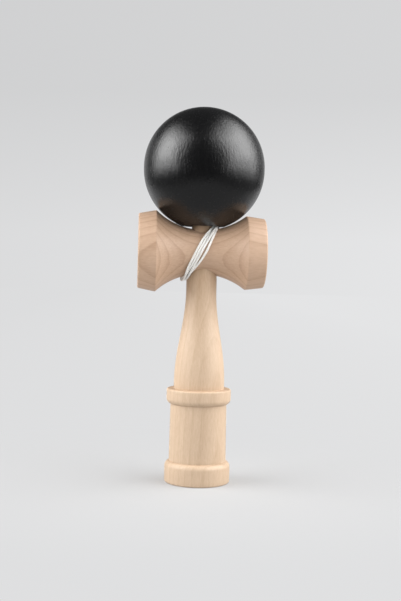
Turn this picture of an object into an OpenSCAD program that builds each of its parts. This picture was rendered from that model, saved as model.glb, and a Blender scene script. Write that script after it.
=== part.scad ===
// Cup and ball toy: a turned handle with a spike on top and a cup in its foot, a turned crosspiece
// with a large and a small cup, and a painted ball that sits on the spike, tied on with a string.
// Millimetres. +Z is up, the foot stands on z = 0, the handle's axis is the Z axis,
// and the large cup points to -X.

/* [Ball] */
// Diameter of the ball
ball_d = 60; // [54:1:70]
// How much taller than wide the ball is, along its hole
ball_extra_h = 0.7; // [0.2:0.1:1.5]
// Diameter of the blind hole that takes the spike
ball_hole_d = 19; // [18.5:0.5:24]
// Bevel on the edge of the blind hole
ball_hole_bevel = 0.6; // [0.4:0.1:1.2]
// Diameter of the string hole in the top of the ball
ball_string_hole_d = 3.2; // [2.6:0.1:4]
// Rounding of the lip of the string hole
ball_string_lip = 3; // [2:0.1:3.6]
// Gap between the ball and the crosspiece that it rests on
ball_seat_gap = 0.2; // [0.1:0.05:0.5]

/* [Crosspiece] */
// Height of the crosspiece's axis
cross_z = 115; // [112:0.5:120]
// Diameter of the waist of the crosspiece
waist_d = 22; // [20:0.5:24]
// Diameter of the ridge round the large cup
big_ridge_d = 40.4; // [36:0.2:44]
// Distance from the handle's axis to the ridge of the large cup
big_ridge_x = 23.2; // [21:0.2:26]
// Diameter of the large cup at its rim
big_rim_d = 37; // [35:0.2:40]
// Distance from the handle's axis to the rim of the large cup
big_rim_x = 32; // [30:0.2:34]
// Depth of the large cup
big_cup_depth = 9; // [7:0.5:11]
// Diameter of the ridge round the small cup
small_ridge_d = 36.8; // [34:0.2:40]
// Distance from the handle's axis to the ridge of the small cup
small_ridge_x = 21.6; // [20:0.2:25]
// Diameter of the small cup at its rim
small_rim_d = 34.4; // [32:0.2:38]
// Distance from the handle's axis to the rim of the small cup
small_rim_x = 30.8; // [29:0.2:34]
// Depth of the small cup
small_cup_depth = 8; // [6:0.5:10]
// Width of the flat rim of each side cup
cup_rim_w = 1.6; // [1:0.1:2.5]
// Bevel on the outer edge of each side cup
cup_bevel = 0.4; // [0.3:0.1:1]
// Diameter of the string hole in the back of the crosspiece
cross_string_hole_d = 2.4; // [2:0.1:3]
// Clearance of the crosspiece's bore round the handle's taper
taper_clearance = 0.04; // [0.02:0.01:0.1]

/* [Handle] */
// Diameter of the foot
foot_d = 32.7; // [30:0.1:36]
// Height of the foot's straight side, below its shoulder
foot_h = 8; // [6:0.5:10]
// Rounding of the lower edge of the foot
foot_edge = 1; // [0.5:0.1:1.5]
// Width of the flat rim that the foot stands on
foot_rim_w = 2; // [1.5:0.1:3]
// Depth of the cup in the foot
foot_cup_depth = 6.5; // [4:0.5:9]
// Radius of the rounded shoulder of the foot and of the underside of the ring
shoulder_r = 2.9; // [2.3:0.1:4]
// Diameter of the body just above the foot
body_low_d = 28.5; // [26:0.1:30]
// Diameter of the body just under the ring
body_high_d = 28; // [26:0.1:30]
// Diameter of the ring round the handle
ring_d = 32.1; // [30:0.1:36]
// Height of the lower edge of the ring's straight side
ring_z = 42; // [39:0.5:45]
// Height of the ring above that edge
ring_top_h = 4.9; // [4:0.1:6]
// Rounding of the upper edge of the ring
ring_edge = 0.9; // [0.4:0.1:1.5]
// Diameter of the grip, just above the ring
grip_d = 25.2; // [22:0.2:28]
// Height where the grip starts to narrow
grip_z = 50; // [49:0.5:54]
// Diameter of the neck, under the crosspiece
neck_d = 15.1; // [14:0.1:16]
// Height where the grip has narrowed to the neck
neck_z = 95.5; // [88:0.5:97]
// How far below the crosspiece's waist the taper starts
taper_under = 2.5; // [1.5:0.1:4]
// Diameter of the spike where the taper ends
spike_d = 10.9; // [8.5:0.1:11.5]
// How far above the crosspiece's waist the taper ends
taper_over = 1; // [0.6:0.1:2]
// Diameter of the spike near its tip
tip_d = 4.8; // [3.6:0.2:6]
// Height of the tip of the spike above the crosspiece's axis
spike_h = 43.5; // [38:0.5:47]
// Diameter of the cross hole that the string runs through
handle_string_hole_d = 2.4; // [2:0.1:3]
// Diameter of the pocket for the string's knot
knot_pocket_d = 4.6; // [4.4:0.1:5]
// Distance from the handle's axis to the floor of the knot pocket
knot_pocket_y = 2.2; // [1.8:0.1:2.6]

/* [Bead and string] */
// Diameter of the bead inside the ball
bead_d = 8; // [7:0.5:9]
// Diameter of the hole through the bead
bead_hole_d = 2; // [1.8:0.1:2.4]
// Gap between the bead and the end of the blind hole
bead_gap = 0.3; // [0.2:0.05:0.5]
// Room between the tip of the spike and the knot under the bead
tip_room = 1.5; // [1:0.1:3]
// Diameter of the string
string_d = 1; // [0.8:0.05:1.2]
// Diameter of the knots
knot_d = 3.8; // [3.4:0.1:4.2]
// Gap between a knot and what it pulls against
knot_gap = 0.1; // [0.05:0.05:0.3]
// Clearance of the string from the wood that it is wound round
string_gap = 0.25; // [0.2:0.05:0.4]
// Clearance of the string from the spike and the neck that it is wound past
string_side_gap = 0.3; // [0.25:0.05:0.4]
// Clearance between neighbouring passes of the string
pass_gap = 0.55; // [0.52:0.01:0.65]
// How much further the first pass stands off from the next one, in front
front_gap = 0.5; // [0:0.1:0.8]
// Clearance of the string from the ball that it lies on
string_lie_gap = 0.15; // [0.1:0.05:0.3]

/* [Hidden] */
$fn = 96;
slack = 1;

maple = "#d9b996";
pale_maple = "#e6cda9";
black_paint = "#17181a";
white_string = "#f1f0ea";
bead_wood = "#c9a06c";

// Crosspiece: concave flanks are arcs that are level at the waist and end at the ridges
waist_r = waist_d / 2;
function flank_radius(ridge_x, ridge_r) = let (rise = ridge_r - waist_r)
    (pow(ridge_x, 2) + rise * rise) / 2 / rise;
big_flank_r = flank_radius(big_ridge_x, big_ridge_d / 2);
small_flank_r = flank_radius(small_ridge_x, small_ridge_d / 2);
function flank(x) = let (r = x < 0 ? big_flank_r : small_flank_r) waist_r + r - sqrt(r * r - x * x);
function dish_radius(mouth_r, depth) = (mouth_r * mouth_r + depth * depth) / 2 / depth;
big_dish_r = dish_radius(big_rim_d / 2 - cup_rim_w, big_cup_depth);
small_dish_r = dish_radius(small_rim_d / 2 - cup_rim_w, small_cup_depth);

// Ball: two halves with a narrow band between them, and the edge of its hole rests over the flanks
ball_r = ball_d / 2;
ball_edge_r = ball_hole_d / 2 + ball_hole_bevel;
ball_edge_drop = sqrt(ball_r * ball_r - ball_edge_r * ball_edge_r);
ball_low_z = cross_z + max(flank(-ball_edge_r), flank(ball_edge_r)) + ball_seat_gap + ball_edge_drop;
ball_high_z = ball_low_z + ball_extra_h;

// Above the tip of the spike, in the ball's hole: the knot, the bead and the end of the hole
tip_z = cross_z + spike_h;
knot_flat_r = string_d;
knot_flat = sqrt(pow(knot_d / 2, 2) - pow(knot_flat_r, 2));
bead_knot_z = tip_z + tip_room + knot_d / 2 + knot_flat;
bead_z = bead_knot_z + knot_gap + sqrt(pow(bead_d / 2, 2) - pow(bead_hole_d / 2, 2));
ball_hole_end = bead_z + bead_d / 2 + bead_gap;

// Handle: foot, ring, grip, taper and spike
foot_dish_r = dish_radius(foot_d / 2 - foot_edge - foot_rim_w, foot_cup_depth);
taper_low_z = cross_z - waist_r - taper_under;
taper_high_z = cross_z + waist_r + taper_over;

// An arc of a profile, round a centre, from one angle to another
function arc(c, r, from, to, steps) = [for (i = [0:steps])
    let (a = from + (to - from) * i / steps) c + r * [cos(a), sin(a)]];

function shoulder(wide_d, narrow_d, z, side) = let (c = [wide_d / 2 - shoulder_r, z])
    arc(c, shoulder_r, 0, side * acos((narrow_d / 2 - c[0]) / shoulder_r), 8);
function reverse(list) = [for (i = [len(list) - 1:-1:0]) list[i]];

grip_steps = 18;
function grip_r(z) = (grip_d + neck_d) / 4
    + (grip_d - neck_d) / 4 * cos(180 * (z - grip_z) / (neck_z - grip_z));
ring_top_z = ring_z + ring_top_h;
tip_r = tip_d / 2;
handle_profile = concat(
    [[0, 0]],
    arc([foot_d / 2 - foot_edge, foot_edge], foot_edge, -90, 0, 4),
    shoulder(foot_d, body_low_d, foot_h, 1),
    reverse(shoulder(ring_d, body_high_d, ring_z, -1)),
    arc([ring_d / 2 - ring_edge, ring_top_z - ring_edge], ring_edge, 0, 90, 4),
    [[grip_d / 2, ring_top_z]],
    [for (i = [0:grip_steps]) let (z = grip_z + (neck_z - grip_z) * i / grip_steps) [grip_r(z), z]],
    [[neck_d / 2, taper_low_z], [spike_d / 2, taper_high_z]],
    arc([0, tip_z - tip_r], tip_r, 0, 90, 6));

// String: round the waist of the crosspiece, four passes across the front, then up behind the ball.
// An angle round the crosspiece is 0 at the back, 90 on top, 180 at the front and 270 underneath.
string_r = string_d / 2;
turns = 4;
rings_per_turn = 24;
winding_sides = 6;
free_sides = 8;
// The passes cross the top beside the spike and the underside beside the neck
pitch = string_d + pass_gap;
beside = string_side_gap + string_r + pitch / 2;
top_x = spike_d / 2 + beside;
under_x = -neck_d / 2 - beside;
back_shift = 5.3;
// Places of the passes: sideways and lifted, two by two at the top and underneath, side by side in front
end_side = [pitch / 2, pitch / 2, -pitch / 2, -pitch / 2];
end_lift = [0, pitch, 0, pitch];
roll_out = [1, 0, 0, -1];
// In front, a pair is stacked within the first angle from its ends, and side by side past the second
roll_from = 5;
roll_to = 75;
// Behind, the crossings swing apart and change height in the middle of the back
back_swing = [2, 0, -2];
swap_from = 0.2;
// How sharply the passes bend round the spike and the neck, and how far they bow to the left in front
front_bend = 0.45;
front_bow = 1;
bow_from = 95;
bow_to = 215;
// Where the gap beside the first pass opens and closes
front_gap_from = 135;
front_gap_to = 225;

function mix(a, b, t) = a + (b - a) * t;
function ease(t) = (1 - cos(180 * min(max(t, 0), 1))) / 2;
function hump(a, from, to) = pow(sin(180 * (min(max(a, from), to) - from) / (to - from)), 2);
// Middle of the passes: almost straight across the front, and a slack bow behind
function front_x(a) = let (t = (270 - a) / 180)
    mix(under_x, top_x, t - front_bend * sin(360 * t) / 2 / PI) - front_bow * hump(a, bow_from, bow_to);
function back_x(a) = mix(under_x, top_x, (1 + sin(a)) / 2) - back_shift * pow(cos(a), 2);
function middle_x(a) = let (b = a - 360 * floor(a / 360)) b >= 90 && b <= 270 ? front_x(b) : back_x(b);
lay_step = 1;
function lay_slope(a) = (middle_x(a + lay_step) - middle_x(a - lay_step))
    / (2 * lay_step * PI / 180 * waist_r);
function off_middle(side, a) = middle_x(a) + side * sqrt(1 + pow(lay_slope(a), 2));
// A point of the string at x, lifted off the crosspiece, at an angle round it
function on_waist(x, lift, a) = let (r = flank(x) + string_gap + string_r + lift)
    [x, r * cos(a), cross_z + r * sin(a)];
// In front, the upper pass of each pair rolls down beside the lower one
function pass_place(n, b) = let (roll = 90 * ease((min(b, 180 - b) - roll_from) / (roll_to - roll_from)))
    [end_side[n] + pitch * sin(roll) * roll_out[n]
        + (n == 0 ? front_gap * hump(90 + b, front_gap_from, front_gap_to) : 0), end_lift[n] * cos(roll)];
function crossing_place(n, v) = let (w = ease((v - swap_from) / (1 - 2 * swap_from)))
    [mix(end_side[n], end_side[n + 1], w) + back_swing[n] * pow(sin(180 * v), 2),
        mix(end_lift[n], end_lift[n + 1], w)];
function winding_place(a) = let (n = floor((a - 90) / 360), b = a - 90 - 360 * n)
    b <= 180 ? pass_place(n, b) : crossing_place(n, b / 180 - 1);
function winding_point(a) = let (p = winding_place(a))
    on_waist(off_middle(p[0], a), p[1], a);

// The string comes out of the hole in the back of the crosspiece and bends up to the first pass
start_points = [[0, -string_gap - string_r, 0], [0, string_d - string_gap - string_r, 0],
    [0.2, 1.9, 0.8], [0.7, 3, 3], [1.5, 3.6, 6.5], [2.7, 3.6, 13], [4.7, 2.6, 30], [6.5, 1.1, 45],
    [7.6, 0.2, 60], [7.8, 0, 75]];
// The last pass leaves the winding behind the crosspiece: sideways, lifted, angle
leave_points = [[-0.75, 1.7, -75], [-0.6, 2.2, -60], [-0.3, 3.1, -45], [0.2, 4, -32]];
last_pass_end = 90 + 360 * (turns - 1) + 180;
ring_step = 360 / rings_per_turn;

function start_path() = [for (p = start_points) on_waist(p[0], p[1], p[2])];
function leave_path() = [for (p = leave_points) on_waist(off_middle(p[0], p[2]), p[1], p[2])];
function passes(step) = [for (a = [90:step:last_pass_end]) winding_point(a)];

// Behind the ball the string is taut: straight up to the ball, round it, and over the lip of its hole
leave_end = leave_path()[len(leave_points) - 1];
back_angle = atan2(leave_end[1], leave_end[0]);
function behind(h, z) = [h * cos(back_angle), h * sin(back_angle), z];
lie_r = ball_r + string_lie_gap + string_r;
lip_ease = 0.2;
lip_bend = ball_string_lip + ball_string_hole_d / 2 - lip_ease;
leave_h = norm([leave_end[0], leave_end[1]]);
leave_far = norm([leave_h, ball_low_z - leave_end[2]]);
touch_angle = atan2(leave_h, ball_low_z - leave_end[2]) + acos(lie_r / leave_far);
lip_z = ball_high_z + sqrt(pow(lie_r - lip_bend, 2) - pow(lip_bend, 2));
lip_angle = atan2(lip_bend, lip_z - ball_high_z);
function on_ball(a) = behind(lie_r * sin(a), (a < 90 ? ball_low_z : ball_high_z) - lie_r * cos(a));
straight_steps = 5;
lie_steps = 20;
bend_steps = 6;
touch_point = on_ball(touch_angle);
lead = string_d;
straight_end = leave_end + lead * unit(touch_point - leave_end);
free_path = concat(
    [for (i = [0:straight_steps - 1]) mix(straight_end, touch_point, i / straight_steps)],
    [for (i = [0:lie_steps - 1]) on_ball(mix(touch_angle, 180 - lip_angle, i / lie_steps))],
    [for (i = [0:bend_steps]) let (a = mix(lip_angle, -90, i / bend_steps))
        behind(lip_bend + lip_bend * sin(a), lip_z + lip_bend * cos(a))]);
winding_path = concat(start_path(), passes(ring_step), leave_path(), [straight_end]);

// Least gap of the winding to itself, measured on points down its middle, half a turn or more apart
fine_steps = 3;
fine_path = [for (i = [0:len(winding_path) - 2]) for (k = [0:fine_steps - 1])
    mix(winding_path[i], winding_path[i + 1], k / fine_steps)];
half_turn = rings_per_turn * fine_steps / 2;
least_gap = min([for (i = [0:len(fine_path) - 1 - half_turn]) for (j = [i + half_turn:len(fine_path) - 1])
    norm(fine_path[i] - fine_path[j])]) - string_d;
echo(least_gap = least_gap);

// A round tube along a path: rings square to the path, carried along it without twist
function unit(v) = v / norm(v);
function heading(path, i) = let (last = len(path) - 1)
    i == 0 ? unit(path[1] - path[0]) : i == last ? unit(path[last] - path[last - 1])
    : unit(unit(path[i + 1] - path[i]) + unit(path[i] - path[i - 1]));
function level(v, t) = unit(v - (v * t) * t);
function sides_of(path, first) = [for (i = 0, v = level(first, heading(path, 0)); i < len(path);
    i = i + 1, v = i < len(path) ? level(v, heading(path, i)) : v) v];

module tube(path, d, sides, first) {
    across = sides_of(path, first);
    rings = len(path);
    points = [for (i = [0:rings - 1]) let (t = heading(path, i), n = across[i], b = cross(t, n))
        for (k = [0:sides - 1]) path[i] + d / 2 * (cos(360 * k / sides) * n + sin(360 * k / sides) * b)];
    walls = [for (i = [0:rings - 2]) for (k = [0:sides - 1])
        let (a = i * sides + k, b = i * sides + (k + 1) % sides)
        each [[a, a + sides, b], [b, a + sides, b + sides]]];
    last = (rings - 1) * sides;
    caps = [for (k = [1:sides - 2]) each [[0, k, k + 1], [last, last + k + 1, last + k]]];
    polyhedron(points, concat(walls, caps), convexity = 10);
}

// A knot: a ball with a flat on top, where the string runs into it
module knot() {
    intersection() {
        sphere(d = knot_d);
        translate([0, 0, knot_flat - knot_d / 2]) cube(knot_d, center = true);
    }
}

module handle() color(pale_maple) difference() {
    rotate_extrude() polygon(handle_profile);
    translate([0, 0, foot_cup_depth - foot_dish_r]) sphere(r = foot_dish_r);
    translate([0, -knot_pocket_y - slack, cross_z]) rotate([-90, 0, 0])
        cylinder(d = handle_string_hole_d, h = neck_d);
    translate([0, -knot_pocket_y, cross_z]) rotate([90, 0, 0]) cylinder(d = knot_pocket_d, h = neck_d);
}

// Half of the crosspiece's outline, as [radius, distance along the axis], on one side of the handle
module cup_outline(rim_x, rim_d, ridge_x, ridge_d, flank_r) {
    slope = (ridge_d - rim_d) / 2 / (rim_x - ridge_x);
    over = 2;
    difference() {
        polygon([[0, -slack], [ridge_d / 2 + over * slope, -slack],
            [ridge_d / 2 + over * slope, ridge_x - over], [rim_d / 2 + cup_bevel * slope, rim_x - cup_bevel],
            [rim_d / 2 - cup_bevel, rim_x], [0, rim_x]]);
        translate([waist_r + flank_r, 0]) circle(r = flank_r, $fn = 360);
        translate([0, -2 * slack]) square([ridge_d, 2 * slack]);
    }
}

module crosspiece() color(maple) difference() {
    translate([0, 0, cross_z]) {
        rotate([0, -90, 0]) rotate_extrude()
            cup_outline(big_rim_x, big_rim_d, big_ridge_x, big_ridge_d, big_flank_r);
        rotate([0, 90, 0]) rotate_extrude()
            cup_outline(small_rim_x, small_rim_d, small_ridge_x, small_ridge_d, small_flank_r);
    }
    translate([-big_rim_x + big_cup_depth - big_dish_r, 0, cross_z]) sphere(r = big_dish_r);
    translate([small_rim_x - small_cup_depth + small_dish_r, 0, cross_z]) sphere(r = small_dish_r);
    translate([0, 0, taper_low_z]) cylinder(h = taper_high_z - taper_low_z,
        r1 = neck_d / 2 + taper_clearance, r2 = spike_d / 2 + taper_clearance);
    translate([0, 0, cross_z]) rotate([-90, 0, 0]) cylinder(d = cross_string_hole_d, h = waist_d);
}

// Half of the ball, on the flat face of its band
module half_ball() intersection() {
    sphere(r = ball_r);
    translate([0, 0, ball_r]) cube(ball_d, center = true);
}

module ball() color(black_paint) difference() {
    union() {
        translate([0, 0, ball_low_z]) mirror([0, 0, 1]) half_ball();
        translate([0, 0, ball_low_z]) cylinder(r = ball_r, h = ball_extra_h);
        translate([0, 0, ball_high_z]) half_ball();
    }
    translate([0, 0, ball_low_z - ball_r]) cylinder(d = ball_hole_d, h = ball_hole_end - ball_low_z + ball_r);
    translate([0, 0, ball_low_z - ball_edge_drop - slack])
        cylinder(r1 = ball_edge_r + slack, r2 = ball_hole_d / 2, h = ball_hole_bevel + slack);
    translate([0, 0, ball_high_z]) cylinder(d = ball_string_hole_d, h = ball_r + slack);
    rotate_extrude() string_lip();
}

// What the rounded lip takes off the edge of the string hole
module string_lip() {
    c = ball_string_hole_d / 2 + ball_string_lip;
    z = sqrt(pow(ball_r - ball_string_lip, 2) - c * c);
    difference() {
        translate([0, ball_high_z + z])
            square([c * ball_r / (ball_r - ball_string_lip), ball_string_lip + slack]);
        translate([c, ball_high_z + z]) circle(r = ball_string_lip);
    }
}

module bead() color(bead_wood) translate([0, 0, bead_z]) difference() {
    sphere(d = bead_d);
    cylinder(d = bead_hole_d, h = bead_d + slack, center = true);
}

anchor_y = -knot_pocket_y - knot_gap;
module anchor_knot() color(white_string)
    translate([0, anchor_y - knot_flat, cross_z]) rotate([-90, 0, 0]) knot();

// A straight run of string, in a few even steps
function run(from, to) = [for (i = [0:run_steps]) mix(from, to, i / run_steps)];
run_steps = 4;

module string_anchor() color(white_string)
    tube(run([0, anchor_y, cross_z], winding_path[0]), string_d, free_sides, [0, 0, 1]);

module string_winding() color(white_string) tube(winding_path, string_d, winding_sides, [0, 0, 1]);

module string_free() color(white_string) tube(free_path, string_d, free_sides, [0, 0, 1]);

module string_in_ball() color(white_string)
    tube(run([0, 0, lip_z], [0, 0, bead_knot_z]), string_d, free_sides, [1, 0, 0]);

module bead_knot() color(white_string) translate([0, 0, bead_knot_z - knot_flat]) knot();

handle();
crosspiece();
ball();
bead();
anchor_knot();
string_anchor();
string_winding();
string_free();
string_in_ball();
bead_knot();
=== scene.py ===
import math

import bmesh
import bpy
from mathutils import Matrix, Vector


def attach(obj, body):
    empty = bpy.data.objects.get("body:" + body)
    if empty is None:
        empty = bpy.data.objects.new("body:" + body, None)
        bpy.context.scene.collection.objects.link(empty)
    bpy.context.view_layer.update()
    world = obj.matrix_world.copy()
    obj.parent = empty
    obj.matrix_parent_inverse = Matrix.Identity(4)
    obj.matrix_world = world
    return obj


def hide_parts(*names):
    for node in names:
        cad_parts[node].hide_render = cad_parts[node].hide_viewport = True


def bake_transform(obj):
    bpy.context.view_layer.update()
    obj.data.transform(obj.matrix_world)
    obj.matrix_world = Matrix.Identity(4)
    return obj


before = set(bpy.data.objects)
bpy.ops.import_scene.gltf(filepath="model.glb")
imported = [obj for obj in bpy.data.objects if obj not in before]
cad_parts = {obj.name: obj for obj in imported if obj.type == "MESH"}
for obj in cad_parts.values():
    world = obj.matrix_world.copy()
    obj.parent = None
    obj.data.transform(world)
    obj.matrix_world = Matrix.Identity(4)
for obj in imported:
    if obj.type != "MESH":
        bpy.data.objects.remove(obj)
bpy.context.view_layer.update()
scene = bpy.context.scene
scene.view_settings.view_transform = "Standard"

mm = 0.001

# Sizes of the turned pieces, in metres: ball
ball_r = 30 * mm
ball_extra_h = 0.7 * mm
ball_hole_r = 9.5 * mm
ball_hole_bevel = 0.6 * mm
ball_seat_gap = 0.2 * mm
ball_string_hole_r = 1.6 * mm
ball_string_lip = 3 * mm

# Crosspiece, with the large cup at -X and the small cup at +X
cross_z = 115 * mm
waist_r = 11 * mm
big_ridge_r = 20.2 * mm
big_ridge_x = 23.2 * mm
big_rim_r = 18.5 * mm
big_rim_x = 32 * mm
big_cup_depth = 9 * mm
small_ridge_r = 18.4 * mm
small_ridge_x = 21.6 * mm
small_rim_r = 17.2 * mm
small_rim_x = 30.8 * mm
small_cup_depth = 8 * mm
cup_rim_w = 1.6 * mm
cup_bevel = 0.4 * mm
cross_string_hole_r = 1.2 * mm

# Handle, from the foot up to the tip of the spike
foot_r = 16.35 * mm
foot_h = 8 * mm
foot_edge = 1 * mm
foot_rim_w = 2 * mm
foot_cup_depth = 6.5 * mm
shoulder_r = 2.9 * mm
body_low_r = 14.25 * mm
body_high_r = 14 * mm
ring_r = 16.05 * mm
ring_z = 42 * mm
ring_top_h = 4.9 * mm
ring_edge = 0.9 * mm
grip_r = 12.6 * mm
grip_z = 50 * mm
neck_r = 7.55 * mm
neck_z = 95.5 * mm
taper_under = 2.5 * mm
spike_r = 5.45 * mm
taper_over = 1 * mm
tip_r = 2.4 * mm
spike_h = 43.5 * mm
handle_string_hole_r = 1.2 * mm
knot_pocket_r = 2.3 * mm
knot_pocket_y = 2.2 * mm

# Bead, knots and string
bead_r = 4 * mm
bead_hole_r = 1 * mm
bead_gap = 0.3 * mm
tip_room = 1.5 * mm
string_r = 0.5 * mm
knot_r = 1.9 * mm
knot_gap = 0.1 * mm
string_side_gap = 0.3 * mm
string_lie_gap = 0.15 * mm
lip_ease = 0.2 * mm

# Small roundings that sandpaper leaves on turned edges
sanded_edge = 0.45 * mm
fine_edge = 0.25 * mm
bead_edge = 0.1 * mm
# How far short of its rounded edges a round outline ends, in degrees
ball_edge_room = 1
bead_edge_room = 4
# How much nearer to the crosspiece the ball's lower half lies than the gap that lets it turn
seat_close = 0.15 * mm
# The wound string lies on the wood and its passes against each other, closer than the solids do.
# In front, a wider gap opens beside the first pass. Of two passes that are stacked, the upper one sinks in
# a little.
string_gap = 0.12 * mm
pass_gap = 0.2 * mm
front_gap = 0.8 * mm
nestle = 0.88
# Gap round the handle where it comes out of the crosspiece
joint_gap = 0.2 * mm

# Steps of the curves in the outlines, and of a full turn on the lathe
dish_steps = 24
edge_steps = 6
shoulder_steps = 12
grip_steps = 40
tip_steps = 12
flank_steps = 40
lip_steps = 10
ball_steps = 60
bead_steps = 28
lathe_steps = 192
bead_lathe_steps = 64
bore_sides = 96
string_hole_sides = 32
# Points nearer than this are merged, and edges sharper than this angle stay crisp
merge_gap = 0.002 * mm
crisp_angle = 35


# Shapes that follow from these sizes

def flank_radius(ridge_x, ridge_r):
    rise = ridge_r - waist_r
    return (ridge_x ** 2 + rise ** 2) / 2 / rise


big_flank_r = flank_radius(big_ridge_x, big_ridge_r)
small_flank_r = flank_radius(small_ridge_x, small_ridge_r)


def flank(x):
    """Radius of the crosspiece's concave flank at x."""
    r = big_flank_r if x < 0 else small_flank_r
    return waist_r + r - math.sqrt(r * r - x * x)


def dish_radius(mouth_r, depth):
    return (mouth_r ** 2 + depth ** 2) / 2 / depth


ball_edge_r = ball_hole_r + ball_hole_bevel
ball_edge_drop = math.sqrt(ball_r ** 2 - ball_edge_r ** 2)
ball_low_z = cross_z + max(flank(-ball_edge_r), flank(ball_edge_r)) + ball_seat_gap + ball_edge_drop
ball_high_z = ball_low_z + ball_extra_h
tip_z = cross_z + spike_h
knot_flat = math.sqrt(knot_r ** 2 - (2 * string_r) ** 2)
bead_knot_z = tip_z + tip_room + knot_r + knot_flat
bead_z = bead_knot_z + knot_gap + math.sqrt(bead_r ** 2 - bead_hole_r ** 2)
ball_hole_end = bead_z + bead_r + bead_gap
taper_low_z = cross_z - waist_r - taper_under
taper_high_z = cross_z + waist_r + taper_over
anchor_y = -knot_pocket_y - knot_gap


def mix(a, b, t):
    return a + (b - a) * t


def sin_deg(a):
    return math.sin(math.radians(a))


def cos_deg(a):
    return math.cos(math.radians(a))


origin = Vector((0, 0, 0))
axis_x = Vector((1, 0, 0))
axis_y = Vector((0, 1, 0))
axis_z = Vector((0, 0, 1))

# Camera: at the photograph's viewing angle, a little left of the toy and tipped a little to the left
photo_long_side = 601
focal_pixels = 1002
camera_far = 500 * mm
camera_z = 106.9 * mm
camera_turn = math.radians(3.66)
camera_aim = math.radians(3.63)
camera_dip = math.radians(1.84)
camera_roll = math.radians(1.43)


def make_camera():
    data = bpy.data.cameras.new("camera")
    data.lens = focal_pixels / photo_long_side * data.sensor_width
    camera = bpy.data.objects.new("camera", data)
    scene.collection.objects.link(camera)
    ahead = Vector((math.sin(camera_aim) * math.cos(camera_dip),
                    math.cos(camera_aim) * math.cos(camera_dip), -math.sin(camera_dip)))
    level = ahead.cross(axis_z).normalized()
    upright = level.cross(ahead)
    right = level * math.cos(camera_roll) + upright * math.sin(camera_roll)
    over = upright * math.cos(camera_roll) - level * math.sin(camera_roll)
    place = Matrix((right, over, -ahead)).transposed().to_4x4()
    place.translation = (-camera_far * math.sin(camera_turn), -camera_far * math.cos(camera_turn),
                         camera_z)
    camera.matrix_world = place
    scene.camera = camera


make_camera()


# String: its route round the waist of the crosspiece and up behind the ball.
# An angle round the crosspiece is 0 at the back, 90 on top, 180 at the front and 270 underneath.
turns = 4
route_step = 15
pitch = 2 * string_r + pass_gap
beside = string_side_gap + string_r + pitch / 2
top_x = spike_r + beside
under_x = -neck_r - beside
back_shift = 5.3 * mm
end_side = [pitch / 2, pitch / 2, -pitch / 2, -pitch / 2]
end_lift = [0, pitch * nestle, 0, pitch * nestle]
roll_out = [1, 0, 0, -1]
# In front, a pair is stacked within the first angle from its ends, and side by side past the second
roll_from = 5
roll_to = 75
# Behind, the crossings swing apart and change height in the middle of the back
back_swing = [2 * mm, 0, -2 * mm]
swap_from = 0.2
# How sharply the passes bend round the spike and the neck, and how far they bow to the left in front
front_bend = 0.45
front_bow = 1 * mm
bow_from = 95
bow_to = 215
# Where the gap beside the first pass opens and closes
front_gap_from = 135
front_gap_to = 225
# Out of the hole in the back of the crosspiece and up to the first pass: x, lift, angle
start_points = [(0, -string_gap - string_r, 0), (0, string_r - string_gap, 0), (0.2 * mm, 1.9 * mm, 0.8),
                (0.7 * mm, 3 * mm, 3), (1.5 * mm, 3.6 * mm, 6.5), (2.7 * mm, 3.6 * mm, 13),
                (4.7 * mm, 2.6 * mm, 30), (6.5 * mm, 1.1 * mm, 45), (7.6 * mm, 0.2 * mm, 60),
                (7.8 * mm, 0, 75)]
# Off the winding behind the crosspiece: sideways, lift, angle
leave_points = [(-0.75 * mm, 1.7 * mm, -75), (-0.6 * mm, 2.2 * mm, -60), (-0.3 * mm, 3.1 * mm, -45),
                (0.2 * mm, 4 * mm, -32)]
# Points on the runs inside the wood, on the way up to the ball, along it and round the lip of its hole
run_steps = 4
straight_steps = 5
lie_steps = 20
bend_steps = 6


def ease(t):
    """A smooth step from 0 to 1."""
    return (1 - cos_deg(180 * min(max(t, 0), 1))) / 2


def hump(a, low, high):
    """A smooth rise to 1 and fall to 0, between two angles."""
    return sin_deg(180 * (min(max(a, low), high) - low) / (high - low)) ** 2


def middle_x(a):
    """Middle of the passes: almost straight across the front, and a slack bow behind."""
    a = a % 360
    if 90 <= a <= 270:
        t = (270 - a) / 180
        share = t - front_bend * sin_deg(360 * t) / 2 / math.pi
        return mix(under_x, top_x, share) - front_bow * hump(a, bow_from, bow_to)
    return mix(under_x, top_x, (1 + sin_deg(a)) / 2) - back_shift * cos_deg(a) ** 2


def off_middle(side, a):
    slope = (middle_x(a + 1) - middle_x(a - 1)) / (math.radians(2) * waist_r)
    return middle_x(a) + side * math.sqrt(1 + slope ** 2)


def on_waist(x, lift, a):
    r = flank(x) + string_gap + string_r + lift
    return Vector((x, r * cos_deg(a), cross_z + r * sin_deg(a)))


def winding_point(a):
    """A point of the winding: each turn is a pass over the front, then a crossing at the back."""
    n = int((a - 90) // 360)
    b = a - 90 - 360 * n
    if b <= 180:
        # In front, the upper pass of each pair rolls down beside the lower one
        roll = 90 * ease((min(b, 180 - b) - roll_from) / (roll_to - roll_from))
        side = end_side[n] + pitch * sin_deg(roll) * roll_out[n]
        if n == 0:
            side += front_gap * hump(90 + b, front_gap_from, front_gap_to)
        lift = end_lift[n] * cos_deg(roll)
    else:
        v = b / 180 - 1
        w = ease((v - swap_from) / (1 - 2 * swap_from))
        side = mix(end_side[n], end_side[n + 1], w) + back_swing[n] * sin_deg(180 * v) ** 2
        lift = mix(end_lift[n], end_lift[n + 1], w)
    return on_waist(off_middle(side, a), lift, a)


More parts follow.
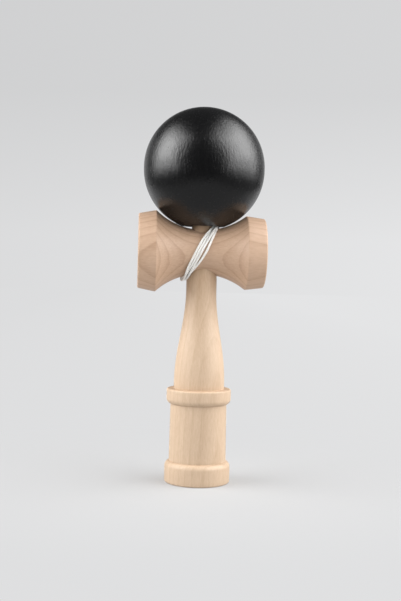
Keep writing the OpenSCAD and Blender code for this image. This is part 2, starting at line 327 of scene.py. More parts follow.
def string_route():
    """The string's points from knot to knot, and how many of them lie up to the end of the winding."""
    start = [on_waist(*p) for p in start_points]
    knot_end = Vector((0, anchor_y, cross_z))
    anchor = [knot_end.lerp(start[0], i / run_steps) for i in range(run_steps)]
    passes = [winding_point(a) for a in range(90, 90 + 360 * (turns - 1) + 181, route_step)]
    leave = [on_waist(off_middle(side, a), lift, a) for side, lift, a in leave_points]
    out = Vector((leave[-1].x, leave[-1].y, 0))
    back = out.normalized()

    def behind(h, z):
        return back * h + Vector((0, 0, z))

    def on_ball(a):
        half_z = ball_low_z if a < math.pi / 2 else ball_high_z
        return behind(lie_r * math.sin(a), half_z - lie_r * math.cos(a))

    lie_r = ball_r + string_lie_gap + string_r
    lip_bend = ball_string_lip + ball_string_hole_r - lip_ease
    below = ball_low_z - leave[-1].z
    touch = math.atan2(out.length, below) + math.acos(lie_r / math.hypot(out.length, below))
    lip_z = ball_high_z + math.sqrt((lie_r - lip_bend) ** 2 - lip_bend ** 2)
    lip_angle = math.atan2(lip_bend, lip_z - ball_high_z)
    touch_point = on_ball(touch)
    straight_end = leave[-1] + (touch_point - leave[-1]).normalized() * 2 * string_r
    straight = [straight_end.lerp(touch_point, i / straight_steps) for i in range(straight_steps)]
    lie = [on_ball(mix(touch, math.pi - lip_angle, i / lie_steps)) for i in range(lie_steps)]
    bend = []
    for i in range(bend_steps + 1):
        a = mix(lip_angle, -math.pi / 2, i / bend_steps)
        bend.append(behind(lip_bend * (1 + math.sin(a)), lip_z + lip_bend * math.cos(a)))
    lip_end = Vector((0, 0, lip_z))
    in_ball = [lip_end.lerp(Vector((0, 0, bead_knot_z)), i / run_steps) for i in range(1, run_steps + 1)]
    winding = anchor + start + passes + leave
    return winding + straight + lie + bend + in_ball, len(winding)


def smooth_line(points, step, split):
    """An even, smooth line through the points, and the place in it of the point numbered split."""
    gaps = [(b - a).length for a, b in zip(points, points[1:])]
    slopes = [(points[1] - points[0]) / gaps[0]]
    for i in range(1, len(points) - 1):
        before = (points[i] - points[i - 1]) / gaps[i - 1]
        after = (points[i + 1] - points[i]) / gaps[i]
        slopes.append((before * gaps[i] + after * gaps[i - 1]) / (gaps[i - 1] + gaps[i]))
    slopes.append((points[-1] - points[-2]) / gaps[-1])
    line = []
    split_place = 0
    for i, gap in enumerate(gaps):
        if i == split:
            split_place = len(line)
        pieces = max(1, round(gap / step))
        for k in range(pieces):
            t = k / pieces
            here = 2 * t ** 3 - 3 * t ** 2 + 1
            there = 3 * t ** 2 - 2 * t ** 3
            slope_here = (t ** 3 - 2 * t ** 2 + t) * gap
            slope_there = (t ** 3 - t ** 2) * gap
            line.append(here * points[i] + there * points[i + 1]
                        + slope_here * slopes[i] + slope_there * slopes[i + 1])
    line.append(points[-1])
    return line, split_place


def headings_and_sides(line, first):
    """The direction of a line at each point, and one across it that is carried along without twist."""
    headings = []
    sides = []
    side = first
    for i in range(len(line)):
        heading = (line[min(i + 1, len(line) - 1)] - line[max(i - 1, 0)]).normalized()
        side = (side - heading * side.dot(heading)).normalized()
        headings.append(heading)
        sides.append(side)
    return headings, sides


# The string is laid up from three plies, with grooves between them that are a share of its radius deep
plies = 3
ply_pitch = 3.2 * mm
ply_groove = 0.24
lay_r = 0.6 * mm
string_sides = 24
ring_step = 0.24 * mm
# An overhand knot is pulled tight round its own string: its size, its height in sizes, and the share that
# is open at each end. A short tail bends away from it.
knot_size = 0.43 * mm
knot_height = 1.24
knot_open = 0.02
knot_steps = 110
knot_inset = 1 * mm
knot_thin = 0.84
tail_steps = 8
tail_step = 0.22 * mm
tail_bend = 0.12


def laid_string(name, line, headings, sides, lengths, thin=1.0):
    """A length of laid string: a grid wrapped round the line, with the grooves between its plies."""
    rings = len(line)
    mesh = bmesh.new()
    mesh.loops.layers.uv.new("string_uv")
    half = 0.5
    bmesh.ops.create_grid(mesh, x_segments=string_sides, y_segments=rings - 1, size=half, calc_uvs=True)
    uv = mesh.loops.layers.uv.active
    whole = lengths[-1] - lengths[0]
    for face in mesh.faces:
        for loop in face.loops:
            loop[uv].uv = (loop.vert.co.x + half, lengths[0] + (loop.vert.co.y + half) * whole)
    for vert in mesh.verts:
        i = round((vert.co.y + half) * (rings - 1))
        a = (vert.co.x + half) * 2 * math.pi
        ply = abs(math.cos(plies / 2 * (a - 2 * math.pi * lengths[i] / ply_pitch)))
        r = lay_r * thin * (1 - ply_groove * (1 - ply))
        up = headings[i].cross(sides[i])
        vert.co = line[i] + (sides[i] * math.cos(a) + up * math.sin(a)) * r
    bmesh.ops.remove_doubles(mesh, verts=mesh.verts, dist=merge_gap)
    bmesh.ops.holes_fill(mesh, edges=[e for e in mesh.edges if e.is_boundary], sides=0)
    bmesh.ops.recalc_face_normals(mesh, faces=mesh.faces)
    return finished(name, mesh)


def finished(name, mesh):
    """A piece from a bmesh, shaded smooth, with its sharp edges left crisp."""
    data = bpy.data.meshes.new(name)
    mesh.to_mesh(data)
    mesh.free()
    for face in data.polygons:
        face.use_smooth = True
    data.set_sharp_from_angle(angle=math.radians(crisp_angle))
    piece = bpy.data.objects.new(name, data)
    scene.collection.objects.link(piece)
    return piece


def lengths_along(line):
    lengths = [0.0]
    for a, b in zip(line, line[1:]):
        lengths.append(lengths[-1] + (b - a).length)
    return lengths


def overhand_knot(name, end, axis):
    """A tight overhand knot at the string's end, which comes in along the axis, with a short tail."""
    middle = end - axis * knot_inset
    up = axis.cross(axis_x)
    line = []
    for i in range(knot_steps):
        t = 2 * math.pi * mix(knot_open, 1 - knot_open, i / (knot_steps - 1))
        x = math.sin(t) + 2 * math.sin(2 * t)
        y = math.cos(t) - 2 * math.cos(2 * t)
        z = -math.sin(3 * t) * knot_height
        line.append(middle + (axis_x * x + up * y + axis * z) * knot_size)
    leaving = (line[-1] - line[-2]).normalized()
    for i in range(1, tail_steps + 1):
        line.append(line[-1] + (leaving - axis * tail_bend * i).normalized() * tail_step)
    headings, sides = headings_and_sides(line, axis)
    return laid_string(name, line, headings, sides, lengths_along(line), thin=knot_thin)


def turned(name, outline, middle, axis, closed, steps=lathe_steps):
    """A piece turned on the lathe: its outline spun once round the axis."""
    mesh = bmesh.new()
    verts = [mesh.verts.new(p) for p in outline]
    edges = [mesh.edges.new(pair) for pair in zip(verts, verts[1:])]
    if closed:
        edges.append(mesh.edges.new((verts[-1], verts[0])))
    bmesh.ops.spin(mesh, geom=verts + edges, cent=middle, axis=axis, angle=2 * math.pi, steps=steps,
                   use_merge=True)
    bmesh.ops.remove_doubles(mesh, verts=mesh.verts, dist=merge_gap)
    bmesh.ops.recalc_face_normals(mesh, faces=mesh.faces)
    return finished(name, mesh)


def arc(centre, r, start, end, steps):
    """Points of an arc, with angles in degrees."""
    return [(centre[0] + r * cos_deg(mix(start, end, i / steps)),
             centre[1] + r * sin_deg(mix(start, end, i / steps))) for i in range(steps + 1)]


def eased(before, corner, after, r, steps=4):
    """A corner of an outline, rounded off over a distance r along both its sides."""
    corner = Vector(corner)
    start = corner + (Vector(before) - corner).normalized() * r
    end = corner + (Vector(after) - corner).normalized() * r
    points = []
    for i in range(steps + 1):
        t = i / steps
        points.append(tuple(start * (1 - t) ** 2 + corner * 2 * t * (1 - t) + end * t ** 2))
    return points


def bored(piece, *cutters):
    """Takes the cutters' shapes out of a piece, and puts the cutters away."""
    for cutter in cutters:
        cut = piece.modifiers.new("bore", "BOOLEAN")
        cut.operation = "DIFFERENCE"
        cut.solver = "EXACT"
        cut.object = cutter
    shape = piece.evaluated_get(bpy.context.evaluated_depsgraph_get())
    data = bpy.data.meshes.new_from_object(shape)
    piece.modifiers.clear()
    piece.data = data
    data.set_sharp_from_angle(angle=math.radians(crisp_angle))
    for cutter in cutters:
        bpy.data.objects.remove(cutter)
    return piece


def drill(start, axis, length, r_start, r_end, sides=string_hole_sides):
    """A round cutter from a point, along an axis, with a radius at each end."""
    mesh = bmesh.new()
    bmesh.ops.create_cone(mesh, cap_ends=True, segments=sides, radius1=r_start, radius2=r_end,
                          depth=length)
    turn = axis_z.rotation_difference(axis).to_matrix()
    bmesh.ops.rotate(mesh, cent=origin, matrix=turn, verts=mesh.verts)
    bmesh.ops.translate(mesh, vec=Vector(start) + axis * length / 2, verts=mesh.verts)
    return finished("drill", mesh)


# The string and what is tied to it

string_points, winding_count = string_route()
string_line, winding_end = smooth_line(string_points, ring_step, winding_count)
string_headings, string_sides_out = headings_and_sides(string_line, axis_z)
string_lengths = lengths_along(string_line)


def string_between(name, first, last):
    part = slice(first, last + 1)
    return laid_string(name, string_line[part], string_headings[part], string_sides_out[part],
                       string_lengths[part])


winding = string_between("wound_string", 0, winding_end)
lead = string_between("string_to_ball", winding_end, len(string_line) - 1)
anchor_knot = overhand_knot("knot_in_handle", string_line[0], axis_y)
bead_knot = overhand_knot("knot_under_bead", string_line[-1], axis_z)


# Turned pieces

def handle_outline():
    """Outline of the handle, from the middle of the foot cup to the tip, as (radius, z)."""
    mouth_r = foot_r - foot_edge - foot_rim_w
    dish_r = dish_radius(mouth_r, foot_cup_depth)
    dish_middle = (0, foot_cup_depth - dish_r)
    dish_end = math.degrees(math.asin((dish_r - foot_cup_depth) / dish_r))
    dish = arc(dish_middle, dish_r, 90, dish_end, dish_steps)
    points = dish[:-1]
    points += eased(dish[-2], dish[-1], (foot_r, 0), sanded_edge)
    points += arc((foot_r - foot_edge, foot_edge), foot_edge, -90, 0, edge_steps)
    low_middle = (foot_r - shoulder_r, foot_h)
    low_end = math.degrees(math.acos((body_low_r - low_middle[0]) / shoulder_r))
    points += arc(low_middle, shoulder_r, 0, low_end, shoulder_steps)
    high_middle = (ring_r - shoulder_r, ring_z)
    high_end = math.degrees(math.acos((body_high_r - high_middle[0]) / shoulder_r))
    points += arc(high_middle, shoulder_r, -high_end, 0, shoulder_steps)
    ring_top_z = ring_z + ring_top_h
    points += arc((ring_r - ring_edge, ring_top_z - ring_edge), ring_edge, 0, 90, edge_steps)
    points += [(grip_r, ring_top_z)]
    for i in range(grip_steps + 1):
        z = mix(grip_z, neck_z, i / grip_steps)
        swell = math.cos(math.pi * i / grip_steps)
        points.append(((grip_r + neck_r) / 2 + (grip_r - neck_r) / 2 * swell, z))
    points += [(neck_r, taper_low_z), (spike_r, taper_high_z)]
    points += arc((0, tip_z - tip_r), tip_r, 0, 90, tip_steps)
    return points


def make_handle():
    outline = [(r, 0, z) for r, z in handle_outline()]
    piece = turned("turned_handle", outline, origin, axis_z, closed=False)
    pocket = drill((0, -knot_pocket_y, cross_z), -axis_y, neck_r, knot_pocket_r, knot_pocket_r)
    way = drill((0, -knot_pocket_y - knot_gap, cross_z), axis_y, neck_r, handle_string_hole_r,
                handle_string_hole_r)
    return bored(piece, pocket, way)


def cup_outline(rim_x, rim_r, ridge_x, ridge_r, flank_r, depth):
    """Half of the crosspiece's outline, from the middle of the dish to the waist, as (x, radius)."""
    mouth_r = rim_r - cup_rim_w
    dish_r = dish_radius(mouth_r, depth)
    dish_middle = (rim_x - depth + dish_r, 0)
    dish_end = math.degrees(math.asin(mouth_r / dish_r))
    dish = arc(dish_middle, dish_r, 180, 180 - dish_end, dish_steps)
    slope = (ridge_r - rim_r) / (rim_x - ridge_x)
    edge_in = (rim_x, rim_r - cup_bevel)
    edge_out = (rim_x - cup_bevel, rim_r + cup_bevel * slope)
    points = dish[:-1]
    points += eased(dish[-2], dish[-1], edge_in, sanded_edge)
    points += eased(dish[-1], edge_in, edge_out, fine_edge)
    points += eased(edge_in, edge_out, (ridge_x, ridge_r), fine_edge)
    flank_middle = (0, waist_r + flank_r)
    ridge_angle = math.degrees(math.asin(ridge_x / flank_r))
    flank_points = arc(flank_middle, flank_r, -90 + ridge_angle, -90, flank_steps)
    points += eased(edge_out, (ridge_x, ridge_r), flank_points[1], sanded_edge)
    points += flank_points[1:]
    return points


def make_crosspiece():
    small = cup_outline(small_rim_x, small_rim_r, small_ridge_x, small_ridge_r, small_flank_r,
                        small_cup_depth)
    big = cup_outline(big_rim_x, big_rim_r, big_ridge_x, big_ridge_r, big_flank_r, big_cup_depth)
    outline = [(x, 0, cross_z + r) for x, r in small]
    outline += [(-x, 0, cross_z + r) for x, r in reversed(big[:-1])]
    piece = turned("turned_crosspiece", outline, (0, 0, cross_z), axis_x, closed=False)
    bore = drill((0, 0, taper_low_z), axis_z, taper_high_z - taper_low_z, neck_r + joint_gap,
                 spike_r + joint_gap, bore_sides)
    string_hole = drill((0, 0, cross_z), axis_y, 2 * waist_r, cross_string_hole_r, cross_string_hole_r)
    return bored(piece, bore, string_hole)


def make_ball():
    lip_r = ball_string_hole_r + ball_string_lip
    lip_z = ball_high_z + math.sqrt((ball_r - ball_string_lip) ** 2 - lip_r ** 2)
    lip_end = math.degrees(math.atan2(lip_z - ball_high_z, lip_r))
    edge_angle = -math.degrees(math.acos(ball_edge_r / ball_r))
    points = [(ball_string_hole_r, ball_hole_end)]
    points += arc((lip_r, lip_z), ball_string_lip, 180, lip_end, lip_steps)
    points += arc((0, ball_high_z), ball_r, lip_end, 0, ball_steps)[1:]
    low_z = ball_low_z - seat_close
    points += arc((0, low_z), ball_r, 0, edge_angle + ball_edge_room, ball_steps)
    edge = (ball_edge_r, low_z - ball_edge_drop)
    inner = (ball_hole_r, edge[1] + ball_hole_bevel)
    points += eased(points[-1], edge, inner, fine_edge)
    points += eased(edge, inner, (ball_hole_r, ball_hole_end), fine_edge)
    points += [(ball_hole_r, ball_hole_end)]
    return turned("painted_ball", [(r, 0, z) for r, z in points], origin, axis_z, closed=True)


def make_bead():
    hole_angle = math.degrees(math.acos(bead_hole_r / bead_r))
    points = arc((0, bead_z), bead_r, hole_angle - bead_edge_room, -hole_angle + bead_edge_room, bead_steps)
    top = (bead_hole_r, points[0][1])
    low = (bead_hole_r, points[-1][1])
    points = eased(low, top, points[0], bead_edge) + points + eased(points[-1], low, top, bead_edge)
    return turned("turned_bead", [(r, 0, z) for r, z in points], origin, axis_z, closed=True,
                  steps=bead_lathe_steps)


handle = make_handle()
crosspiece = make_crosspiece()
ball = make_ball()
bead = make_bead()


# Materials

def new_shader(name):
    """A material with an empty shader, and its node tree."""
    material = bpy.data.materials.new(name)
    material.use_nodes = True
    tree = material.node_tree
    tree.nodes.clear()
    out = tree.nodes.new("ShaderNodeOutputMaterial")
    shader = tree.nodes.new("ShaderNodeBsdfPrincipled")
    tree.links.new(shader.outputs[0], out.inputs[0])
    return material, tree, shader


def put(tree, kind, inputs=None, **settings):
    """Adds a node: inputs are values or other nodes' outputs, by name or number."""
    node = tree.nodes.new("ShaderNode" + kind)
    for name, value in settings.items():
        setattr(node, name, value)
    for name, value in (inputs or {}).items():
        if isinstance(value, bpy.types.NodeSocket):
            tree.links.new(value, node.inputs[name])
        else:
            node.inputs[name].default_value = value
    return node


def calc(tree, operation, a, b=0.0):
    return put(tree, "Math", {0: a, 1: b}, operation=operation).outputs[0]


def ranged(tree, value, low, high, to_low=0.0, to_high=1.0, smooth=False):
    kind = "SMOOTHSTEP" if smooth else "LINEAR"
    node = put(tree, "MapRange", {"Value": value, "From Min": low, "From Max": high, "To Min": to_low,
                                  "To Max": to_high}, interpolation_type=kind)
    return node.outputs[0]


def blended(tree, factor, a, b, how="MIX"):
    node = put(tree, "Mix", {0: factor, 6: a, 7: b}, data_type="RGBA", blend_type=how)
    return node.outputs[2]


def scaled(tree, vector, scale, turn=(0, 0, 0), shift=(0, 0, 0)):
    node = put(tree, "Mapping", {"Vector": vector, "Scale": scale, "Rotation": turn, "Location": shift})
    return node.outputs[0]


def noise(tree, vector, detail=2.0, roughness=0.5):
    """A noise with features of about one unit of the vector."""
    node = put(tree, "TexNoise", {"Vector": vector, "Scale": 1.0, "Detail": detail, "Roughness": roughness})
    return node.outputs["Fac"]


def colour(red, green, blue):
    return (red, green, blue, 1.0)


# Wood: sizes of its patterns across the fibres, which are drawn out along them
fibre_stretch = 0.06
wander_size = 9 * mm
wave_size = 2.2 * mm
wave_depth = 0.06
streak_size = 0.55 * mm
mottle_size = 0.7 * mm
broad_size = 14 * mm
fleck_size = 0.3 * mm
grain_size = 0.22 * mm
# Most of a noise lies within such a span of values
noise_span = (0.25, 0.75)
broad_span = (0.3, 0.7)
broad_depth = (-0.12, 0.16)
fleck_span = (0.66, 0.76)
# Where a growth layer's dark part ends, and the tone of plain wood between pale and dark
late_end = 0.9
plain_tone = 0.25
# How square to the fibres end grain lies, and how much of its tint it takes
end_grain_facing = 0.75
end_grain_share = 0.3
end_grain_tint = colour(0.72, 0.6, 0.5)
satin_span = (0.2, 0.8)
satin_roughness = (0.42, 0.56)
satin_specular = 0.5
grain_rise = 0.05 * mm
grain_strength = 0.28
fleck_dip = -0.8


def wood(name, along, tilt, layer_w, layer_shift, wander_depth, pale, dark, layer_depth, layer_line,
         own_depth, streak_depth, mottle_depth, fleck_depth, painted_shade_by_height=(0, 1, 0)):
    """Fine-grained turned wood with its fibres along an axis. Its growth layers lie square to Y, tilted."""
    material, tree, shader = new_shader(name)
    place = put(tree, "TexCoord").outputs["Object"]
    stretch = {"X": (fibre_stretch, 1, 1), "Z": (1, 1, fibre_stretch)}[along]

    def fibres(size, shift=0.0, longer=1.0):
        scale = [s / size if s == 1 else s / size / longer for s in stretch]
        return scaled(tree, place, scale, shift=(shift, shift, shift))

    def added(tone, more):
        return calc(tree, "ADD", tone, more)

    # Growth layers: a slow darkening across each layer, then a sharp step to the next one
    wander = noise(tree, fibres(wander_size, shift=3.1, longer=2.2))
    wander = ranged(tree, wander, 0, 1, -wander_depth, wander_depth)
    wave = ranged(tree, noise(tree, fibres(wave_size, shift=7.7)), 0, 1, -wave_depth, wave_depth)
    spot = put(tree, "SeparateXYZ", {0: scaled(tree, place, (1, 1, 1), turn=tilt)})
    depth = calc(tree, "MULTIPLY", added(spot.outputs["Y"], layer_shift), 1 / layer_w)
    depth = added(added(depth, wander), wave)
    layer = calc(tree, "FRACT", depth)
    late = calc(tree, "POWER", layer, layer_line)
    fall = ranged(tree, layer, late_end, 1.0, 1.0, 0.0, smooth=True)
    late = calc(tree, "MULTIPLY", late, fall)
    tone = calc(tree, "MULTIPLY", late, layer_depth)
    # Each layer has its own tone
    own = put(tree, "TexWhiteNoise", {"W": calc(tree, "FLOOR", depth)}, noise_dimensions="1D")
    tone = added(tone, ranged(tree, own.outputs["Value"], 0, 1, -own_depth / 2, own_depth / 2))
    # Streaks, mottling and broad changes of tone
    streak = noise(tree, fibres(streak_size, shift=1.3, longer=1.5), detail=3, roughness=0.6)
    tone = added(tone, ranged(tree, streak, *noise_span, -streak_depth, streak_depth))
    mottle = noise(tree, fibres(mottle_size, shift=4.4, longer=0.3), roughness=0.6)
    tone = added(tone, ranged(tree, mottle, *noise_span, -mottle_depth, mottle_depth))
    broad = noise(tree, fibres(broad_size, shift=5.2))
    tone = added(tone, ranged(tree, broad, *broad_span, *broad_depth))
    # Painted shade that grows with the height, darkening the neck under the crosspiece and the spike under
    # the ball: from, to, depth
    height = put(tree, "SeparateXYZ", {0: place}).outputs["Z"]
    tone = added(tone, ranged(tree, height, painted_shade_by_height[0], painted_shade_by_height[1], 0.0, painted_shade_by_height[2], smooth=True))
    # Flecks: short dark dashes along the fibres
    fleck = noise(tree, fibres(fleck_size, shift=9.4, longer=0.28), detail=1)
    fleck = ranged(tree, fleck, *fleck_span)
    tone = added(tone, calc(tree, "MULTIPLY", fleck, fleck_depth))
    tone = put(tree, "Clamp", {0: added(tone, plain_tone)}).outputs[0]
    shade = blended(tree, tone, pale, dark)
    # End grain drinks more of the finish and looks darker
    facing = put(tree, "SeparateXYZ", {0: put(tree, "TexCoord").outputs["Normal"]}).outputs[along]
    end_grain = ranged(tree, calc(tree, "ABSOLUTE", facing), end_grain_facing, 1.0, 0.0, end_grain_share,
                       smooth=True)
    shade = blended(tree, end_grain, shade, blended(tree, 1.0, shade, end_grain_tint, "MULTIPLY"))
    tree.links.new(shade, shader.inputs["Base Color"])
    tree.links.new(ranged(tree, streak, *satin_span, *satin_roughness), shader.inputs["Roughness"])
    shader.inputs["Specular IOR Level"].default_value = satin_specular
    # Fibres that the finish raised, with the flecks sunk between them
    grain = noise(tree, fibres(grain_size, shift=2.6, longer=1.2))
    rise = added(grain, calc(tree, "MULTIPLY", fleck, fleck_dip))
    bump = put(tree, "Bump", {"Strength": grain_strength, "Distance": grain_rise, "Height": rise})
    tree.links.new(bump.outputs[0], shader.inputs["Normal"])
    return material


# Paint: sizes of its marks round the ball and along its axis, and how high they stand
brush_size = (0.8 * mm, 3.4 * mm)
brush_rise = 3.0
swell_size = (3.5 * mm, 14 * mm)
swell_rise = 1.6
peel_size = (1.1 * mm, 0.7 * mm)
peel_rise = 0.75
paint_rise = 0.12 * mm
paint_strength = 0.4
thin_span = (0.3, 0.75)
thick_black = colour(0.0026, 0.0027, 0.0030)
thin_black = colour(0.0042, 0.0042, 0.0045)
paint_roughness = (0.2, 0.29)


def black_paint(name):
    """Black paint, brushed over wood whose grain still shows in the gloss."""
    material, tree, shader = new_shader(name)
    place = put(tree, "TexCoord").outputs["Object"]

    def marks(size, detail, roughness=0.5):
        scale = (1 / size[0], 1 / size[0], 1 / size[1])
        return noise(tree, scaled(tree, place, scale), detail, roughness)

    brush = marks(brush_size, detail=3, roughness=0.6)
    height = calc(tree, "ADD", calc(tree, "MULTIPLY", brush, brush_rise),
                  calc(tree, "MULTIPLY", marks(swell_size, detail=2), swell_rise))
    height = calc(tree, "ADD", height, calc(tree, "MULTIPLY", marks(peel_size, detail=1), peel_rise))
    bump = put(tree, "Bump", {"Strength": paint_strength, "Distance": paint_rise, "Height": height})
    tree.links.new(bump.outputs[0], shader.inputs["Normal"])
    shade = blended(tree, ranged(tree, brush, *thin_span), thick_black, thin_black)
    tree.links.new(shade, shader.inputs["Base Color"])
    tree.links.new(ranged(tree, brush, *noise_span, *paint_roughness), shader.inputs["Roughness"])
    return material


# Cotton: how many fibres and patches lie round the string, and their lengths along it
fibres_round = 40
fibre_length = 0.9 * mm
patches_round = 3
patch_length = 6 * mm
patch_span = (0.3, 0.8)
patch_share = 0.35
deep_white = colour(0.74, 0.725, 0.69)
high_white = colour(0.90, 0.89, 0.865)
patch_white = colour(0.80, 0.775, 0.725)
cotton_roughness = 0.78
cotton_specular = 0.25
cotton_sheen = 0.25
cotton_rise = 0.05 * mm
cotton_strength = 0.5


def white_string(name):
    """White cotton: fine fibres that follow the plies."""
    material, tree, shader = new_shader(name)
    along = put(tree, "UVMap", uv_map="string_uv").outputs[0]
    fibre = noise(tree, scaled(tree, along, (fibres_round, 1 / fibre_length, 1)), detail=3, roughness=0.6)
    patch = noise(tree, scaled(tree, along, (patches_round, 1 / patch_length, 1)))
    shade = blended(tree, ranged(tree, fibre, *noise_span), deep_white, high_white)
    shade = blended(tree, ranged(tree, patch, *patch_span, 0, patch_share), shade, patch_white)
    tree.links.new(shade, shader.inputs["Base Color"])
    shader.inputs["Roughness"].default_value = cotton_roughness
    shader.inputs["Specular IOR Level"].default_value = cotton_specular
    shader.inputs["Sheen Weight"].default_value = cotton_sheen
    bump = put(tree, "Bump", {"Strength": cotton_strength, "Distance": cotton_rise, "Height": fibre})
    tree.links.new(bump.outputs[0], shader.inputs["Normal"])
    return material


# The handle's wood takes painted shade towards the top, under the crosspiece and the ball
pale_wood = wood(
    "handle_wood", along="Z", tilt=(math.radians(-2.6), 0, math.radians(-38)),
    layer_w=3.2 * mm, layer_shift=0.6 * mm, wander_depth=0.3,
    pale=colour(0.65, 0.492, 0.35), dark=colour(0.46, 0.312, 0.196), layer_depth=0.26, layer_line=3,
    own_depth=0.08, streak_depth=0.07, mottle_depth=0.17, fleck_depth=0.3, painted_shade_by_height=(66 * mm, 132 * mm, 0.8))
pink_wood = wood(
    "crosspiece_wood", along="X", tilt=(math.radians(-15), 0, 0),
    layer_w=3.0 * mm, layer_shift=0.3 * mm, wander_depth=0.25,
    pale=colour(0.575, 0.394, 0.274), dark=colour(0.366, 0.224, 0.137), layer_depth=0.58, layer_line=4,
    own_depth=0.06, streak_depth=0.12, mottle_depth=0.14, fleck_depth=0.2)
bead_wood = wood(
    "bead_wood", along="Z", tilt=(0, 0, 0), layer_w=1.5 * mm, layer_shift=0, wander_depth=0.5,
    pale=colour(0.55, 0.36, 0.2), dark=colour(0.36, 0.2, 0.1), layer_depth=0.5, layer_line=2.2,
    own_depth=0.2, streak_depth=0.15, mottle_depth=0.1, fleck_depth=0.3)
paint = black_paint("black_paint")
cotton = white_string("white_string")

for piece, body, material, slot, nodes in (
        (handle, "handle", pale_wood, "handle_wood", ["handle"]),
        (crosspiece, "handle", pink_wood, "crosspiece_wood", ["crosspiece"]),
        (ball, "ball", paint, "ball_paint", ["ball"]),
        (bead, "bead", bead_wood, "bead_wood", ["bead"]),
        (anchor_knot, "handle", cotton, "string", ["anchor_knot"]),
        (bead_knot, "bead", cotton, "string", ["bead_knot"]),
        (winding, "handle", cotton, "string", ["string_anchor", "string_winding"])):
    piece.data.materials.clear()
    piece.data.materials.append(material)
    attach(piece, body)
    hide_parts(*nodes)

# The string behind the ball, which stretches when the ball is lifted off the spike, belongs to no body: its
# shape is baked in where it lies
lead.data.materials.append(cotton)
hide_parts("string_free", "string_in_ball")
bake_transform(lead)


# Floor, light and background

floor_r = 4.0
floor_sides = 64
floor_grey = 0.495
floor_roughness = 0.6
floor_specular = 0.03
# Away from the toy, the floor's shading gives way to an even tone, which runs from left to right.
# It has begun to do so at the toy's axis, so its span starts below 0.
floor_fade = (-0.08, 0.18)
far_floor = (0.718, 0.777)
floor_left_to_right = (-0.3, 0.45)
# The background as the camera sees it, from left to right: low down and high up
wall_low = (0.712, 0.778)
wall_high = (0.636, 0.668)
wall_left_to_right = (-0.13, 0.26)
wall_rise = (0.03, 0.17)
# The room in the ball's gloss: dark in front and overhead, pale low down at the back.
# Its even light on the toy and the floor is set on its own.
room_dark = 0.065
room_light = 0.3
room_back = 0.6
room_back_y = (0.5, 0.95)
room_back_z = (0.18, 0.5)
# The floor in the ball's gloss: greyer near the toy than behind it, and it ends at both sides and in front
gloss_floor = (0.42, 0.72)
gloss_floor_y = (-0.05, 0.3)
gloss_floor_end_y = (-0.5, -0.25)
gloss_floor_side = 0.14
gloss_floor_side_x = (0.22, 0.4)
gloss_floor_side_slant = 0.5
# A grey that is a little cool
cool_tint = (1.0, 1.004, 1.014)


def grey(value):
    return colour(*[value * tint for tint in cool_tint])


def make_floor():
    mesh = bmesh.new()
    bmesh.ops.create_circle(mesh, cap_ends=True, cap_tris=False, segments=floor_sides, radius=floor_r)
    floor = finished("floor", mesh)
    material, tree, shader = new_shader("pale_floor")
    shader.inputs["Base Color"].default_value = colour(floor_grey, floor_grey, floor_grey)
    shader.inputs["Roughness"].default_value = floor_roughness
    shader.inputs["Specular IOR Level"].default_value = floor_specular
    place = put(tree, "TexCoord").outputs["Object"]
    spot = put(tree, "SeparateXYZ", {0: place})
    far = put(tree, "VectorMath", {0: place}, operation="LENGTH").outputs["Value"]
    in_gloss = put(tree, "LightPath").outputs["Is Glossy Ray"]
    fade = calc(tree, "MAXIMUM", ranged(tree, far, *floor_fade, smooth=True), in_gloss)
    across = ranged(tree, spot.outputs["X"], *floor_left_to_right)
    pale = blended(tree, across, grey(far_floor[0]), grey(far_floor[1]))
    behind = ranged(tree, spot.outputs["Y"], *gloss_floor_y, smooth=True)
    gloss = blended(tree, behind, grey(gloss_floor[0]), grey(gloss_floor[1]))
    aside = calc(tree, "SUBTRACT", calc(tree, "ABSOLUTE", spot.outputs["X"]),
                 calc(tree, "MULTIPLY", spot.outputs["Y"], gloss_floor_side_slant))
    aside = ranged(tree, aside, *gloss_floor_side_x, smooth=True)
    gloss = blended(tree, aside, gloss, grey(gloss_floor_side))
    front = ranged(tree, spot.outputs["Y"], *gloss_floor_end_y, 1.0, 0.0, smooth=True)
    gloss = blended(tree, front, gloss, grey(room_dark))
    glow = put(tree, "Emission", {"Color": blended(tree, in_gloss, pale, gloss)})
    cover = put(tree, "MixShader", {0: fade, 1: shader.outputs[0], 2: glow.outputs[0]})
    out = next(n for n in tree.nodes if n.type == "OUTPUT_MATERIAL")
    tree.links.new(cover.outputs[0], out.inputs[0])
    floor.data.materials.append(material)


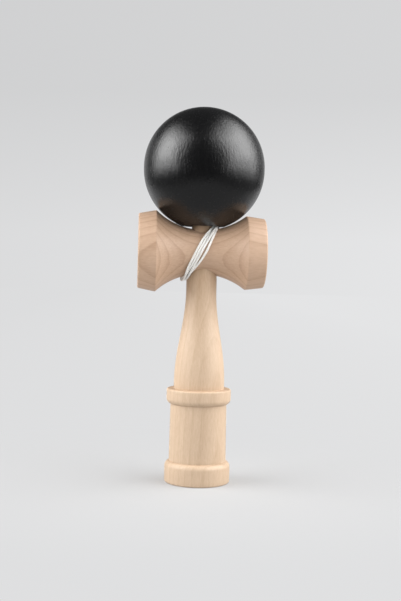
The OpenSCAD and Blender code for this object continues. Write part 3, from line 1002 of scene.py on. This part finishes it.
def make_world():
    world = bpy.data.worlds.new("studio")
    scene.world = world
    world.use_nodes = True
    tree = world.node_tree
    tree.nodes.clear()
    way = put(tree, "SeparateXYZ", {0: put(tree, "TexCoord").outputs["Generated"]})
    path = put(tree, "LightPath")
    across = ranged(tree, way.outputs["X"], *wall_left_to_right)
    low = blended(tree, across, grey(wall_low[0]), grey(wall_low[1]))
    high = blended(tree, across, grey(wall_high[0]), grey(wall_high[1]))
    wall = blended(tree, ranged(tree, way.outputs["Z"], *wall_rise), low, high)
    back = calc(tree, "MULTIPLY", ranged(tree, way.outputs["Y"], *room_back_y, smooth=True),
                ranged(tree, way.outputs["Z"], *room_back_z, 1.0, 0.0, smooth=True))
    room = blended(tree, back, grey(room_dark), grey(room_back))
    room = blended(tree, path.outputs["Is Glossy Ray"], grey(room_light), room)
    seen = blended(tree, path.outputs["Is Camera Ray"], room, wall)
    glow = put(tree, "Background", {"Color": seen, "Strength": 1.0})
    put(tree, "OutputWorld", {"Surface": glow.outputs[0]})


# A softbox is brightest in its middle. Each layer of its light has a share of its size and a radiance,
# and the innermost ones show in the gloss alone.
softbox_layers = [(1.0, 1.1, True), (0.72, 2.2, True), (0.5, 1.4, False), (0.34, 2.4, False)]
layer_step = 0.01
# A lamp's watts for each square metre and unit of radiance
lamp_watts = 4


def lamp(name, place, aim, width, height, radiance):
    data = bpy.data.lights.new(name, "AREA")
    data.shape = "RECTANGLE"
    data.size = width
    data.size_y = height
    data.energy = radiance * lamp_watts * width * height
    lamp_object = bpy.data.objects.new(name, data)
    scene.collection.objects.link(lamp_object)
    lamp_object.location = place
    lamp_object.rotation_euler = (aim - place).to_track_quat("-Z", "Y").to_euler()
    return lamp_object


def softbox(name, place, width, height, level):
    place = Vector(place)
    ahead = (ball_middle - place).normalized()
    for i, (share, radiance, lights_wood) in enumerate(softbox_layers):
        layer = lamp(f"{name}_{i}", place + ahead * layer_step * i, ball_middle, width * share,
                     height * share, radiance * level)
        layer.visible_diffuse = lights_wood


ball_middle = Vector((0, 0, ball_low_z))
make_floor()
make_world()
softbox("left_softbox", (-0.49, -0.07, 0.40), width=0.72, height=0.74, level=1.0)
softbox("right_softbox", (0.45, -0.11, 0.45), width=1.0, height=0.96, level=0.84)
# Wide, weak lights low down at both sides and over the camera, which don't show in the ball's gloss
toy_middle = Vector((0, 0, 0.1))
for name, place, width, height, radiance in (
        ("left_fill", (-0.5, -0.1, 0.14), 0.5, 0.4, 0.95),
        ("right_fill", (0.5, -0.15, 0.14), 0.6, 0.4, 0.35),
        ("front_fill", (0, -0.95, 0.4), 1.2, 0.9, 0.24)):
    lamp(name, Vector(place), toy_middle, width, height, radiance).visible_glossy = False
